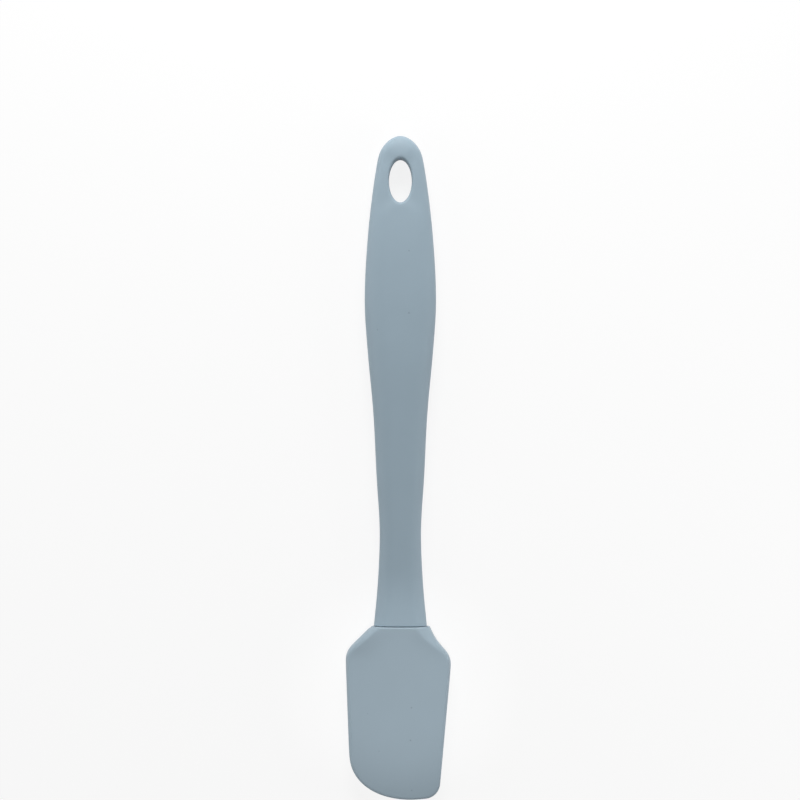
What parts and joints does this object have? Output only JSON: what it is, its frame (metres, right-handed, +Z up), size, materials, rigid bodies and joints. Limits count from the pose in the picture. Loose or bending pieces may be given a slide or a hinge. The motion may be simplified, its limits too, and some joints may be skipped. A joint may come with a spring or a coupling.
{
  "type": "silicone spatula",
  "caption": "Silicone dough scraper: a blade head with a swept corner and a square corner slips onto a stiff-cored handle with an oval hanging hole.",
  "frame": {"origin": "under the middle of the whole scraper, on the surface that it lies on", "axes": "+Y runs along the handle from the blade to the hanging hole, +X is to the blade's square corner seen from the front, +Z is up, out of the front face"},
  "size_m": [0.0396, 0.25, 0.012],
  "materials": {
    "head_silicone": "matte",
    "grip_silicone": "matte",
    "core_nylon": "satin"
  },
  "bodies": {
    "handle": {"handle_core": "core_nylon", "handle_grip": "grip_silicone"},
    "head": {"blade_head": "head_silicone"}
  },
  "joints": [
    {"name": "head_pull", "type": "slide", "parent": "handle", "child": "head", "axis": [0, -1, 0], "range_m": [0, 0.045]}
  ]
}
